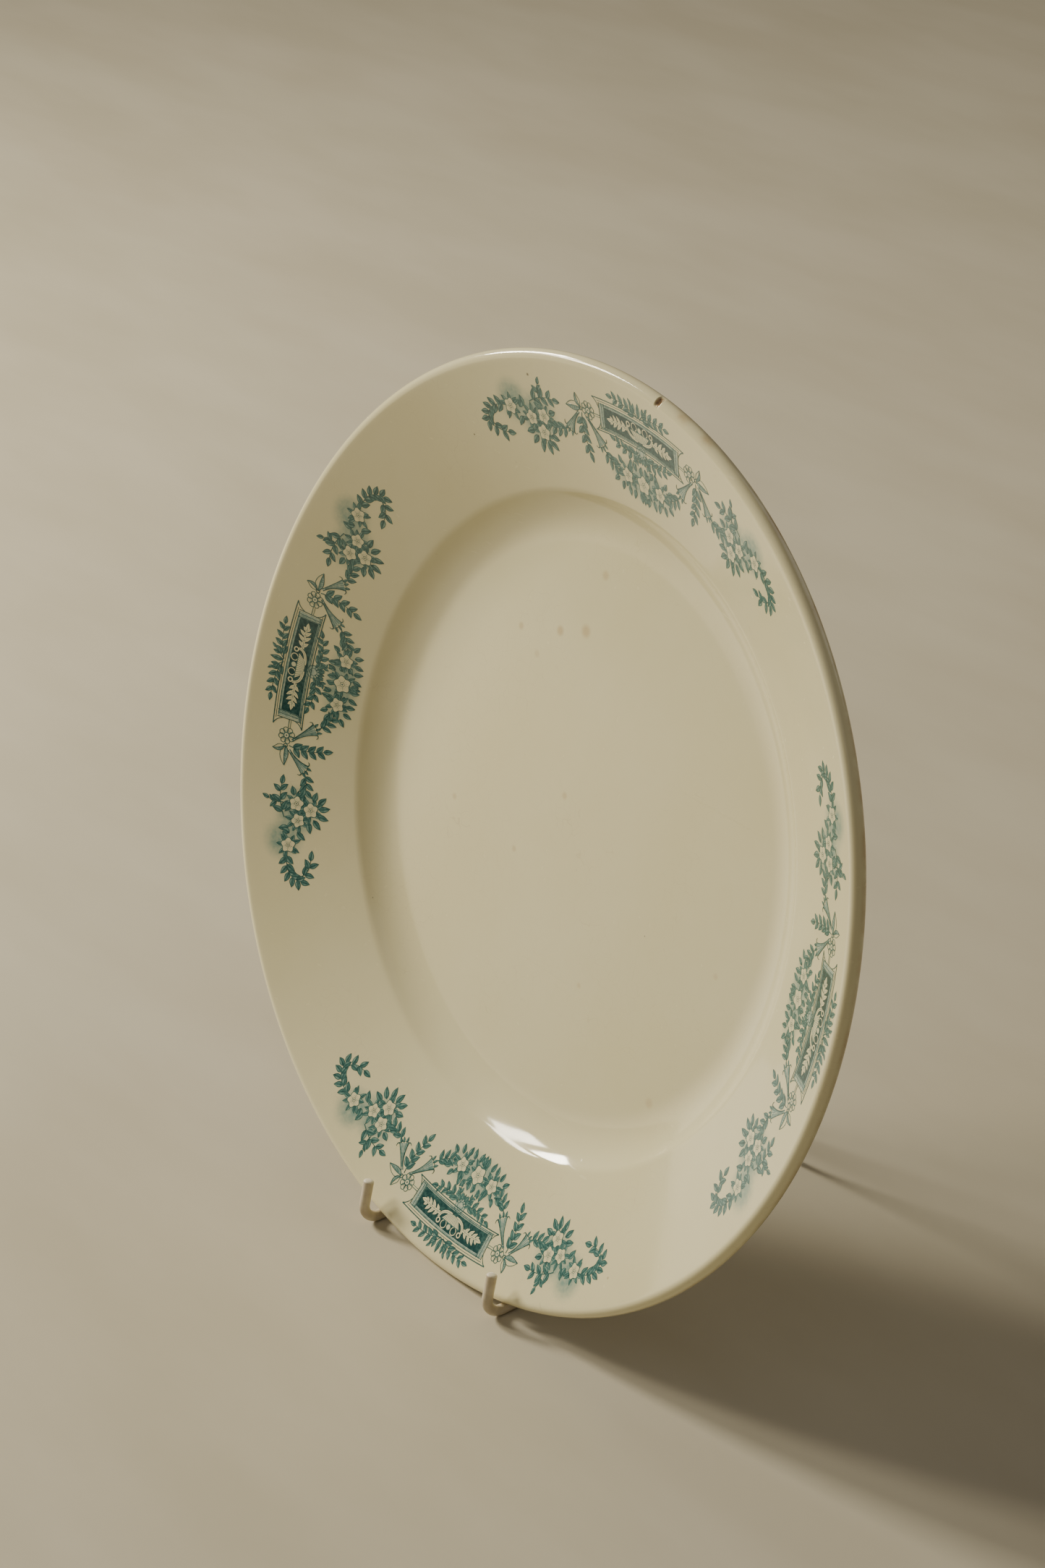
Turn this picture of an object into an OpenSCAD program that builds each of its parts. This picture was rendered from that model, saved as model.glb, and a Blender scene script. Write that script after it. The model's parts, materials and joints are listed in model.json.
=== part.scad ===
// Round china serving platter, leaning back on a folding wire plate stand.
// Millimetres. +Z is up, the platter's face looks towards -Y and +X is to the right of
// someone facing it. The origin is on the table, under the middle of the overall box.

/* [Platter] */
// Overall diameter of the platter
platter_d = 305; // [240:1:380]
// Thickness of the rolled lip
lip_t = 5; // [4:0.1:7]
// Wall thickness of the rim and the floor
wall_t = 4.4; // [3.6:0.1:5]
// Width of the rim, from the outer edge to the shoulder of the well
rim_w = 43; // [30:0.5:55]
// Slope of the rim
rim_slope = 24; // [10:0.5:30]
// Depth of the well below the shoulder
well_depth = 7.5; // [6:0.1:14]
// Steepest slope of the wall of the well
well_slope = 52; // [40:1:65]
// Radius of the rounded shoulder between the rim and the well
shoulder_r = 6; // [5.5:0.1:9]
// Height of the foot ring
foot_h = 2.5; // [1.5:0.1:5]
// Width of the foot ring's flat face
foot_w = 4; // [3:0.1:7]
// Draft on each side of the foot ring
foot_draft = 1; // [0.5:0.1:2]

/* [Stand] */
// Backward lean of the platter
lean = 14; // [8:0.5:22]
// Diameter of the stand's wire
wire_d = 2.4; // [1.8:0.1:3.5]
// Outer diameter of the soft sleeves on the hooks
sleeve_d = 3.6; // [3.2:0.1:5]
// Distance between the middles of the two hooks
hook_spacing = 68; // [45:1:90]
// Length of the straight tip of each hook above its bend
tip_len = 8; // [4:0.5:20]
// Length of sleeve on the arm behind each hook
sleeve_back = 12; // [5:0.5:18]
// Bend radius of the corner between each arm and its upright
corner_r = 6; // [5:0.5:10]
// Bend radius of the two top corners
top_corner_r = 5; // [4:0.5:6]

/* [Rear leg] */
// Distance between the middles of the leg's two wires
leg_spacing = 48; // [34:1:50]
// Angle of the open leg from the vertical
leg_spread = 12; // [8:0.5:20]
// Bend radius of the leg's two lower corners
leg_corner_r = 9; // [5:0.5:14]
// Angle that each eye wraps round the cross wire
eye_wrap = 258; // [200:1:262]

/* [Fits] */
// Gap between the lip and each sleeve that it sits on
seat_gap = 0.3; // [0.2:0.05:0.6]
// Room between the lip and the tip of each hook
hook_gap = 3; // [2:0.1:6]
// Smallest gap between the foot ring and the uprights behind it
back_gap = 0.3; // [0.2:0.05:0.6]
// Radial clearance of the eyes on the cross wire
eye_clear = 0.08; // [0.02:0.01:0.1]
// Radial interference of the sleeves on the wire
sleeve_grip = 0.05; // [0.02:0.01:0.1]
// Depth of the wire's end inside the sleeve's open tip
tip_recess = 0.7; // [0.2:0.1:2]
// Gap between the eyes and the back of the platter in front of them
eye_gap = 0.3; // [0.2:0.05:0.6]
// Room between the eyes and the inside of the foot ring above them, along the lean
ring_room = 12; // [2:1:40]
// Smallest gap between the lip and the table
table_gap = 0.3; // [0.2:0.1:2]

/* [Hidden] */
$fn = 96;

// Each straight stretch of wire is drawn this much thinner and runs this far into the bends.
draw = 0.01;
lap = 0.2;
wire_r = wire_d / 2;
sleeve_r = sleeve_d / 2;
hook_x = hook_spacing / 2;
leg_x = leg_spacing / 2;

// Platter profile: x is the radius and y the height above the foot ring's face.
lip_r = lip_t / 2;
lip_c = platter_d / 2 - lip_r;
floor_z = foot_h + wall_t;
shoulder_x = platter_d / 2 - rim_w;
shoulder_rise = shoulder_r * (cos(rim_slope) - cos(well_slope));
shoulder_run = shoulder_r * (sin(well_slope) - sin(rim_slope));
cove_r = (well_depth - shoulder_rise) / (1 - cos(well_slope));
cove_c = [shoulder_x - shoulder_run - cove_r * sin(well_slope), floor_z + cove_r];
shoulder_z = floor_z + well_depth;
shoulder_c = [shoulder_x + shoulder_r * sin(rim_slope), shoulder_z - shoulder_r * cos(rim_slope)];
lip_join = lip_c - lip_r * sin(rim_slope);
lip_z = shoulder_z + (lip_join - shoulder_x) * tan(rim_slope) - lip_r * cos(rim_slope);
platter_h = lip_z + lip_r;
under_lip = [lip_join + wall_t * sin(rim_slope),
             lip_z + (lip_r - wall_t) * cos(rim_slope)];
foot_out = cove_c[0] - foot_draft;
foot_in = foot_out - foot_w - 2 * foot_draft;

// The seat is where the middle of an arm passes below the lip, at x = hook_x.
seat_r = lip_c + (lip_r + seat_gap + sleeve_r) / cos(lean);
seat_y = sqrt(seat_r * seat_r - hook_x * hook_x);
lip_at_hook = sqrt(lip_c * lip_c - hook_x * hook_x);
lip_drop = (lip_c - seat_y) * cos(lean) + lip_r;
arm_z = max(sleeve_r, lip_drop + table_gap);

// The eyes reach forward of the uprights into the space inside the foot ring.
eye_r = wire_d + eye_clear;
eye_top = sqrt(foot_in * foot_in - (leg_x + wire_r) * (leg_x + wire_r)) - ring_room;

// Side view of the stand: the seat is at 0 and the uprights run parallel to the platter.
ring_gap = max(back_gap, eye_r + eye_gap - foot_h);
back_off = lip_z + wire_r + ring_gap;
corner_at = back_off * (cos(lean) + sin(lean) * tan(lean));
corner_run = corner_r * tan((90 - lean) / 2);
hook_bend_r = lip_r + hook_gap;
tip_off = hook_bend_r + sleeve_r;
lip_up = (seat_y - lip_at_hook) * cos(lean);
lip_back = (seat_y - lip_at_hook) * sin(lean);
bend_y = lip_back + ((hook_bend_r - lip_up) * sin(lean) - tip_off + hook_bend_r) / cos(lean);
arm_len = corner_at - corner_run - bend_y;
upright_foot = back_off * tan(lean) + corner_run;
cross_s = seat_y + eye_top - eye_r - wire_r;
cross_y = back_off * cos(lean) + cross_s * sin(lean);
cross_z = arm_z - back_off * sin(lean) + cross_s * cos(lean);

// Rear leg: each wire leaves its eye along a tangent and ends in a foot bar on the table.
leg_top_y = cross_y + eye_r * cos(leg_spread);
leg_top_z = cross_z + eye_r * sin(leg_spread);
leg_len = (leg_top_z - wire_r) / cos(leg_spread);
foot_y = leg_top_y + leg_len * sin(leg_spread);

// The overall box runs from the front of the hooks to the back of the foot bar.
tip_end = tip_len + tip_recess;
front_y = bend_y - hook_bend_r - sleeve_r;
middle_y = (front_y + foot_y + wire_r) / 2;

// Points on an arc about c, from angle a0 to a1, in steps of about 7 degrees.
function arc(c, r, a0, a1) =
    let (n = max(2, ceil(abs(a1 - a0) / 7)))
    [for (i = [0:n]) let (a = a0 + (a1 - a0) * i / n) c + r * [cos(a), sin(a)]];

function platter_outline() = concat(
    [[0, foot_h], [foot_in, foot_h], [foot_in + foot_draft, 0],
     [foot_out - foot_draft, 0], [foot_out, foot_h]],
    arc(cove_c, cove_r + wall_t, -90, well_slope - 90),
    arc(shoulder_c, shoulder_r - wall_t, 90 + well_slope, 90 + rim_slope),
    [under_lip, [lip_join, lip_z + lip_r * cos(rim_slope)]],
    arc(shoulder_c, shoulder_r, 90 + rim_slope, 90 + well_slope),
    arc(cove_c, cove_r, well_slope - 90, -90),
    [[0, floor_z]]);

// Takes a side view drawn with x backwards and y up, and stands it at x = side.
module side_view(side) {
    translate([side, -middle_y, arm_z]) rotate([90, 0, 90]) children();
}

// Lays wire along +x: each step is [length] or [bend radius, angle], turning left.
module wire_run(steps, r, i = 0) {
    if (i < len(steps)) {
        s = steps[i];
        if (len(s) == 1) {
            rotate([0, 90, 0]) wire_straight(s[0], r, i > 0, i < len(steps) - 1);
            translate([s[0], 0, 0]) wire_run(steps, r, i + 1);
        } else {
            translate([0, s[0], 0]) rotate([0, 0, -90]) wire_bend(s[0], s[1], r);
            translate([s[0] * sin(s[1]), s[0] * (1 - cos(s[1])), 0]) rotate([0, 0, s[1]])
                wire_run(steps, r, i + 1);
        }
    }
}

// A straight stretch up z, lapping into the bend at its start or its end.
module wire_straight(length, r, lap_start, lap_end) {
    start = lap_start ? lap : 0;
    end = lap_end ? lap : 0;
    translate([0, 0, -start]) cylinder(h = start + length + end, r = r - draw);
}

module wire_bend(bend_r, angle, r) {
    rotate_extrude(angle = angle) translate([bend_r, 0]) circle(r = r);
}

// A bar along x with a leg up +y at each end, in the x-y plane.
module wire_u(half_w, leg, bend_r) {
    translate([bend_r - half_w, 0, 0]) rotate([0, 90, 0])
        wire_straight(2 * (half_w - bend_r), wire_r, true, true);
    for (side = [-1, 1]) {
        translate([side * half_w, bend_r, 0]) rotate([-90, 0, 0])
            wire_straight(leg - bend_r, wire_r, true, true);
        translate([side * (half_w - bend_r), bend_r, 0]) rotate([0, 0, side < 0 ? 180 : -90])
            wire_bend(bend_r, 90, wire_r);
    }
}

// Starts a run at the end of a hook's tip, heading down towards the bend.
module from_tip(up) {
    translate([bend_y - hook_bend_r * cos(lean) + up * sin(lean),
               hook_bend_r * (1 + sin(lean)) + up * cos(lean), 0])
        rotate([0, 0, -90 - lean]) children();
}

module hook_and_arm(side) {
    side_view(side) from_tip(tip_len)
        wire_run([[tip_len], [hook_bend_r, 90 + lean], [arm_len], [corner_r, 90 - lean]], wire_r);
}

module hook_sleeve(side) {
    color("ivory") side_view(side) difference() {
        from_tip(tip_end)
            wire_run([[tip_end], [hook_bend_r, 90 + lean], [sleeve_back]], sleeve_r);
        from_tip(tip_end + 1)
            wire_run([[tip_end + 1], [hook_bend_r, 90 + lean], [sleeve_back + 1]],
                     wire_r - sleeve_grip);
    }
}

module platter() {
    color("cornsilk") translate([0, -middle_y, arm_z]) rotate([90 - lean, 0, 0])
        translate([0, seat_y, -lip_z]) rotate_extrude() {
            polygon(platter_outline());
            translate([lip_c, lip_z]) circle(r = lip_r);
        }
}

module front_wire() {
    color("silver") {
        for (side = [-1, 1]) hook_and_arm(side * hook_x);
        translate([0, cross_y - middle_y, cross_z]) rotate([-90 - lean, 0, 0])
            wire_u(hook_x, cross_s - upright_foot, top_corner_r);
    }
}

module hook_sleeve_left() { hook_sleeve(-hook_x); }

module hook_sleeve_right() { hook_sleeve(hook_x); }

module rear_leg() {
    color("silver") {
        translate([0, foot_y - middle_y, wire_r]) rotate([90 + leg_spread, 0, 0])
            wire_u(leg_x, leg_len, leg_corner_r);
        for (side = [-1, 1]) translate([side * leg_x, cross_y - middle_y, cross_z])
            rotate([90, 0, 90]) rotate([0, 0, leg_spread]) wire_bend(eye_r, eye_wrap, wire_r);
    }
}

platter();
front_wire();
hook_sleeve_left();
hook_sleeve_right();
rear_leg();
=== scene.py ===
import json
import math

import bmesh
import bpy
import numpy as np
from mathutils import Matrix, Vector


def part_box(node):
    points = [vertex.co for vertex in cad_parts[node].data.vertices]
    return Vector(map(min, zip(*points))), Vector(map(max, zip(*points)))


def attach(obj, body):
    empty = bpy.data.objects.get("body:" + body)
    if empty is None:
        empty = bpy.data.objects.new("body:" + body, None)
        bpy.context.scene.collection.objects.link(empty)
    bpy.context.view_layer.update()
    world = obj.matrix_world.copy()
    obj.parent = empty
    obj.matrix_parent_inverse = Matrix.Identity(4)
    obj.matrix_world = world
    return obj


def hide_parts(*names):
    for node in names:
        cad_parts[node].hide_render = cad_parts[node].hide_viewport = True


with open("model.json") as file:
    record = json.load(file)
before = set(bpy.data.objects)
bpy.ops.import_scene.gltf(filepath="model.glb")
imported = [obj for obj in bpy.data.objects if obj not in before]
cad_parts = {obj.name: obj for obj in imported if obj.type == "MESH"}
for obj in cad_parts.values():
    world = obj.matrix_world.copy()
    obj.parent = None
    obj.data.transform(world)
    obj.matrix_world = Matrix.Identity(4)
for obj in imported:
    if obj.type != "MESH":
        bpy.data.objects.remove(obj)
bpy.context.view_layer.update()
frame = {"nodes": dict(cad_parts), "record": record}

MM = 0.001


# ---------------------------------------------------------------- the platter's own frame
# Local millimetres: x to the right, y up the dish, z out of its face, from the foot ring's plane.
LIP_R = 2.5
WALL = 4.4
RIM_W = 43.0
RIM_SLOPE = math.radians(24)
WELL_DEPTH = 7.5
# The CAD's shoulder has a radius of 6 and its wall stands at 52 degrees. The photo's wall is softer,
# so both are eased here. The face stays within 1.1 mm of the CAD's.
WELL_SLOPE = math.radians(41)
SHOULDER_R = 9.0
FOOT_H = 2.5
FOOT_W = 4.0
FOOT_DRAFT = 1.0
FOOT_OUT = 94.5

platter_lo, platter_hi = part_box("platter")
joints = frame["record"]["behaviour"]["joints"]
lift_axis = next(joint["axis"] for joint in joints if joint["name"] == "platter_lift")
LEAN = math.atan2(lift_axis[1], lift_axis[2])
EDGE_R = (platter_hi.x - platter_lo.x) / 2 / MM
LIP_C = EDGE_R - LIP_R
UP = Vector((0, math.sin(LEAN), math.cos(LEAN)))
OUT = Vector((0, -math.cos(LEAN), math.sin(LEAN)))
LIP_CENTRE = Vector((0, platter_lo.y + (LIP_R + LIP_C * math.sin(LEAN)) * MM,
                     (platter_lo.z + platter_hi.z) / 2))

FLOOR_Z = FOOT_H + WALL
SHOULDER_X = EDGE_R - RIM_W
SHOULDER_Z = FLOOR_Z + WELL_DEPTH
SHOULDER_RUN = SHOULDER_R * (math.sin(WELL_SLOPE) - math.sin(RIM_SLOPE))
SHOULDER_RISE = SHOULDER_R * (math.cos(RIM_SLOPE) - math.cos(WELL_SLOPE))
COVE_R = (WELL_DEPTH - SHOULDER_RISE) / (1 - math.cos(WELL_SLOPE))
COVE_X = SHOULDER_X - SHOULDER_RUN - COVE_R * math.sin(WELL_SLOPE)
COVE_Z = FLOOR_Z + COVE_R
SHOULDER_CX = SHOULDER_X + SHOULDER_R * math.sin(RIM_SLOPE)
SHOULDER_CZ = SHOULDER_Z - SHOULDER_R * math.cos(RIM_SLOPE)
LIP_JOIN = LIP_C - LIP_R * math.sin(RIM_SLOPE)
LIP_Z = SHOULDER_Z + (LIP_JOIN - SHOULDER_X) * math.tan(RIM_SLOPE) - LIP_R * math.cos(RIM_SLOPE)


def place(x, y, z):
    """World place, in metres, of a point in the platter's own millimetres."""
    return LIP_CENTRE + (Vector((x, 0, 0)) + y * UP + (z - LIP_Z) * OUT) * MM


def place_all(points):
    """The same for an array of points."""
    p = np.asarray(points, float)
    axes = np.array([(1, 0, 0), UP[:], OUT[:]])
    return np.array(LIP_CENTRE[:]) + (p - (0, 0, LIP_Z)) @ axes * MM


def warp(r, a):
    """Unevenness of the fired dish, in millimetres along its axis."""
    return (r / EDGE_R) ** 2 * (0.16 * np.sin(2 * a + 0.7) + 0.07 * np.sin(3 * a + 2.1)
                                + 0.03 * np.sin(7 * a + 0.4) * (r / EDGE_R) ** 4)


def rim_z(r):
    """Height of the rim's face at radius r, over the shoulder and up to the top of the lip."""
    r = np.asarray(r, float)
    z = SHOULDER_Z + (r - SHOULDER_X) * math.tan(RIM_SLOPE)
    over = SHOULDER_CZ + np.sqrt(np.maximum(0, SHOULDER_R ** 2 - (r - SHOULDER_CX) ** 2))
    lip = LIP_Z + np.sqrt(np.maximum(0, LIP_R ** 2 - (r - LIP_C) ** 2))
    return np.where(r < SHOULDER_X, over, np.where(r > LIP_JOIN, lip, z))


# ---------------------------------------------------------------- the printed garlands' places
# Angle round the dish, radius of the garland's middle, and how far the transfer is turned, in
# degrees and millimetres. They were fitted to the photo together with the camera.
GARLANDS = {
    "top": (84.1, 124.4, 0.5),
    "left": (176.5, 122.5, 0.1),
    "bottom": (-90.4, 126.7, -0.8),
    "right": (-1.9, 126.8, -0.5),
}
# Soft clouds of tone behind the flowers: u, v, half width, half height, strength.
CLOUDS = [
    (0.0, -5.0, 15.0, 6.8, 0.78),
    (10.5, -5.2, 6.0, 4.6, 0.45),
    (49.0, -2.6, 9.4, 8.4, 0.85),
    (45.0, 1.4, 5.0, 4.4, 0.45),
    (59.4, -1.0, 7.6, 7.4, 0.80),
]


def garland_axes(name):
    """Middle, tangent and outward direction of a garland in the platter's plane."""
    angle, radius, turn = GARLANDS[name]
    a, b = math.radians(angle), math.radians(angle + turn)
    middle = radius * np.array([math.cos(a), math.sin(a)])
    return middle, np.array([-math.sin(b), math.cos(b)]), np.array([math.cos(b), math.sin(b)])


def cloud_tone(x, y):
    """Strength of the blurred print at each point of the platter's plane."""
    tone = np.zeros_like(x)
    for name in GARLANDS:
        middle, along, outward = garland_axes(name)
        u = (x - middle[0]) * along[0] + (y - middle[1]) * along[1]
        v = (x - middle[0]) * outward[0] + (y - middle[1]) * outward[1]
        for cu, cv, half_w, half_h, strength in CLOUDS:
            d = np.hypot((np.abs(u) - cu) / half_w, (v - cv) / half_h)
            soft = np.clip((1.15 - d) / 0.75, 0, 1)
            tone = np.maximum(tone, strength * soft * soft * (3 - 2 * soft))
    return tone


# ---------------------------------------------------------------- material helpers
def new_material(name):
    mat = bpy.data.materials.new(name)
    mat.use_nodes = True
    tree = mat.node_tree
    return mat, tree, tree.nodes["Principled BSDF"]


def node(tree, kind, **settings):
    made = tree.nodes.new(kind)
    for key, value in settings.items():
        if key in made.inputs.keys():
            made.inputs[key].default_value = value
        else:
            setattr(made, key, value)
    return made


def link(tree, source, target):
    tree.links.new(source, target)


def rest_position(tree):
    return node(tree, "ShaderNodeTexCoord").outputs["Object"]


def noise(tree, scale, detail, stretch=None):
    """Noise at rest positions; stretch is a mapping's scale and rotation."""
    made = node(tree, "ShaderNodeTexNoise", Scale=scale, Detail=detail)
    where = rest_position(tree)
    if stretch:
        mapping = node(tree, "ShaderNodeMapping", Scale=stretch[0], Rotation=stretch[1])
        link(tree, where, mapping.inputs["Vector"])
        where = mapping.outputs["Vector"]
    link(tree, where, made.inputs["Vector"])
    return made.outputs["Fac"]


def spread(tree, value, low, high, to_low=0.0, to_high=1.0, smooth=False):
    """Value mapped from low..high to to_low..to_high, and held beyond them."""
    made = node(tree, "ShaderNodeMapRange", interpolation_type="SMOOTHSTEP" if smooth else "LINEAR")
    for key, number in (("From Min", low), ("From Max", high), ("To Min", to_low), ("To Max", to_high)):
        made.inputs[key].default_value = number
    link(tree, value, made.inputs["Value"])
    return made.outputs["Result"]


def maths(tree, operation, a, b):
    made = node(tree, "ShaderNodeMath", operation=operation)
    for socket, value in zip(made.inputs, (a, b)):
        if isinstance(value, (int, float)):
            socket.default_value = value
        else:
            link(tree, value, socket)
    return made.outputs[0]


def mixed(tree, factor, a, b):
    """Colour a turning into colour b with the factor."""
    made = node(tree, "ShaderNodeMix", data_type="RGBA")
    for socket, value in ((made.inputs[0], factor), (made.inputs[6], a), (made.inputs[7], b)):
        if isinstance(value, (int, float)):
            socket.default_value = value
        elif isinstance(value, tuple):
            socket.default_value = (*value, 1)
        else:
            link(tree, value, socket)
    return made.outputs[2]


def attribute(tree, name):
    return node(tree, "ShaderNodeAttribute", attribute_name=name).outputs["Fac"]


def bumped(tree, shader, height, distance, strength):
    made = node(tree, "ShaderNodeBump", Distance=distance, Strength=strength)
    link(tree, height, made.inputs["Height"])
    link(tree, made.outputs["Normal"], shader.inputs["Normal"])


# ---------------------------------------------------------------- materials
CREAM = (0.86, 0.80, 0.52)
CREAM_WARM = (0.80, 0.72, 0.42)
INK_PALE = (0.42, 0.53, 0.44)
INK_MID = (0.095, 0.225, 0.200)
INK_DARK = (0.016, 0.066, 0.066)
INK_BLEED = (0.20, 0.345, 0.30)
CLAY = (0.46, 0.30, 0.17)
CLAY_DARK = (0.34, 0.21, 0.11)
CLAY_RUBBED = (0.70, 0.60, 0.45)
RUST = (0.50, 0.31, 0.12)
CRAZING = (0.45, 0.33, 0.19)
SPECK_BROWN = (0.10, 0.075, 0.045)
FLY_BROWN = (0.30, 0.20, 0.10)
NICKEL = (0.60, 0.585, 0.545)
NICKEL_DULL = (0.40, 0.37, 0.315)
WIRE_RUST = (0.20, 0.10, 0.045)
SLEEVE_CREAM = (0.66, 0.58, 0.43)
SLEEVE_GRIMY = (0.50, 0.42, 0.29)
# Paler cream: the trimmed plastic at a sleeve's open end, and a painted highlight on its round tip.
SLEEVE_CUT_AND_HIGHLIGHT = (0.80, 0.74, 0.60)
FLOOR_LIGHT = (0.60, 0.55, 0.425)
FLOOR_DARK = (0.55, 0.50, 0.375)

# Faint brown marks on the well and the rim: x, y, radius, strength. Their places, and those of the
# first two specks, were worked out from points in the photo.
STAINS = [
    (-14, 62, 3.0, 0.42), (-10, 82, 2.2, 0.32), (-26, 58, 2.4, 0.44), (-45, 53, 1.8, 0.34),
    (-35, 47, 1.8, 0.22), (-9, 8, 1.7, 0.32), (-28, -18, 1.5, 0.28), (-62, -13, 1.6, 0.30),
    (82, 49, 1.3, 0.45), (15, -48, 1.4, 0.22), (57, -70, 2.4, 0.24), (74, -19, 1.5, 0.20),
]
# Small dark specks under the glaze: x, y, radius.
SPECKS = [
    (-38, 139, 0.7), (-66, 111, 0.45), (21, 95, 0.3), (-88, -60, 0.35), (64, 84, 0.35), (40, -20, 0.3),
]
SPECK_STRENGTH = 0.85


def spots(tree, marks, z_of):
    """Sum of soft round marks round points of the platter's face."""
    where = rest_position(tree)
    total = None
    for x, y, radius, strength in marks:
        gap = node(tree, "ShaderNodeVectorMath", operation="DISTANCE")
        link(tree, where, gap.inputs[0])
        gap.inputs[1].default_value = place(x, y, z_of(math.hypot(x, y)))
        mark = spread(tree, gap.outputs["Value"], radius * MM, 0.25 * radius * MM, 0, strength, smooth=True)
        total = mark if total is None else maths(tree, "ADD", total, mark)
    return total


def face_z(r):
    """Height of the face on the well's floor and on the rim; it is only rough between them."""
    return FLOOR_Z if r < COVE_X else float(rim_z(r))


def glaze_colour(tree):
    """Cream glaze, warmer in soft clouds and in a fine grain."""
    cloudy = spread(tree, noise(tree, 14, 4), 0.35, 0.68)
    fine = spread(tree, noise(tree, 160, 3), 0.3, 0.7)
    base = mixed(tree, maths(tree, "MULTIPLY", cloudy, 0.55), CREAM, CREAM_WARM)
    return mixed(tree, maths(tree, "MULTIPLY", fine, 0.10), base, CREAM_WARM)


def crackle(tree):
    """Fine crazing of the glaze, 1 on the lines."""
    cells = node(tree, "ShaderNodeTexVoronoi", feature="DISTANCE_TO_EDGE", Scale=210.0, Randomness=1.0)
    bend = node(tree, "ShaderNodeTexNoise", Scale=90.0, Detail=2.0)
    mapping = node(tree, "ShaderNodeVectorMath", operation="MULTIPLY_ADD")
    where = rest_position(tree)
    link(tree, where, bend.inputs["Vector"])
    link(tree, bend.outputs["Color"], mapping.inputs[0])
    mapping.inputs[1].default_value = (0.006, 0.006, 0.006)
    link(tree, where, mapping.inputs[2])
    link(tree, mapping.outputs[0], cells.inputs["Vector"])
    lines = spread(tree, cells.outputs["Distance"], 0.012, 0.0)
    patches = spread(tree, noise(tree, 25, 2), 0.45, 0.62)
    return maths(tree, "MULTIPLY", lines, patches)


def glaze_finish(tree, shader, colour):
    """What the whole glazed surface shares: fine scratches, gloss and a slight waviness."""
    scratch_a = spread(tree, noise(tree, 420, 1, ((1, 0.02, 1), (0.5, 0.2, 0.6))), 0.735, 0.775)
    scratch_b = spread(tree, noise(tree, 520, 1, ((0.02, 1, 1), (0.9, 0.4, 0.2))), 0.74, 0.78)
    scratches = maths(tree, "ADD", scratch_a, scratch_b)
    dull = spread(tree, noise(tree, 40, 4), 0.35, 0.7, 0.06, 0.14)
    rough = maths(tree, "ADD", dull, maths(tree, "MULTIPLY", scratches, 0.2))
    link(tree, rough, shader.inputs["Roughness"])
    link(tree, colour, shader.inputs["Base Color"])
    shader.inputs["IOR"].default_value = 1.52
    shader.inputs["Coat Weight"].default_value = 0.15
    shader.inputs["Coat Roughness"].default_value = 0.05
    height = maths(tree, "SUBTRACT", noise(tree, 55, 3), maths(tree, "MULTIPLY", scratches, 0.10))
    bumped(tree, shader, height, 0.00010, 0.55)


def china_material():
    """Glaze with crazing, the print's soft clouds, stains, specks and worn places."""
    mat, tree, shader = new_material("china_glaze")
    colour = glaze_colour(tree)
    colour = mixed(tree, maths(tree, "MULTIPLY", crackle(tree), 0.20), colour, CRAZING)
    grain = spread(tree, noise(tree, 620, 2), 0.3, 0.7, 0.72, 1.15)
    bleed = maths(tree, "MULTIPLY", attribute(tree, "bleed"), grain)
    colour = mixed(tree, bleed, colour, INK_BLEED)
    colour = mixed(tree, spots(tree, STAINS, face_z), colour, RUST)
    specks = [(*speck, SPECK_STRENGTH) for speck in SPECKS]
    colour = mixed(tree, spots(tree, specks, face_z), colour, SPECK_BROWN)
    dots = node(tree, "ShaderNodeTexVoronoi", feature="F1", Scale=75.0)
    link(tree, rest_position(tree), dots.inputs["Vector"])
    few = spread(tree, noise(tree, 18, 2), 0.55, 0.65)
    fly = maths(tree, "MULTIPLY", spread(tree, dots.outputs["Distance"], 0.045, 0.02), few)
    colour = mixed(tree, maths(tree, "MULTIPLY", fly, 0.45), colour, FLY_BROWN)
    patchy = spread(tree, noise(tree, 130, 5), 0.40, 0.66)
    rub = maths(tree, "MULTIPLY", attribute(tree, "worn"), patchy)
    colour = mixed(tree, rub, colour, RUST)
    colour = mixed(tree, attribute(tree, "bare"), colour, CLAY_RUBBED)
    chip_tone = mixed(tree, spread(tree, noise(tree, 1500, 3), 0.35, 0.65), CLAY, CLAY_DARK)
    colour = mixed(tree, attribute(tree, "chip"), colour, chip_tone)
    glaze_finish(tree, shader, colour)
    return mat


def ink_material():
    """Underglaze print: the tone runs from bare glaze at 0 to the darkest ink at 1."""
    mat, tree, shader = new_material("printed_ink")
    tone = attribute(tree, "tone")
    grain = spread(tree, noise(tree, 900, 2), 0.25, 0.75, -0.13, 0.13)
    tone = maths(tree, "ADD", tone, maths(tree, "MULTIPLY", grain, spread(tree, tone, 0.02, 0.3)))
    ramp = node(tree, "ShaderNodeValToRGB")
    link(tree, tone, ramp.inputs["Fac"])
    stops = ramp.color_ramp.elements
    stops[0].position = 0.30
    stops[0].color = (*INK_PALE, 1)
    stops[1].position = 1.0
    stops[1].color = (*INK_DARK, 1)
    middle = stops.new(0.66)
    middle.color = (*INK_MID, 1)
    colour = mixed(tree, spread(tree, tone, 0.04, 0.34), glaze_colour(tree), ramp.outputs["Color"])
    glaze_finish(tree, shader, colour)
    return mat


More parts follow.
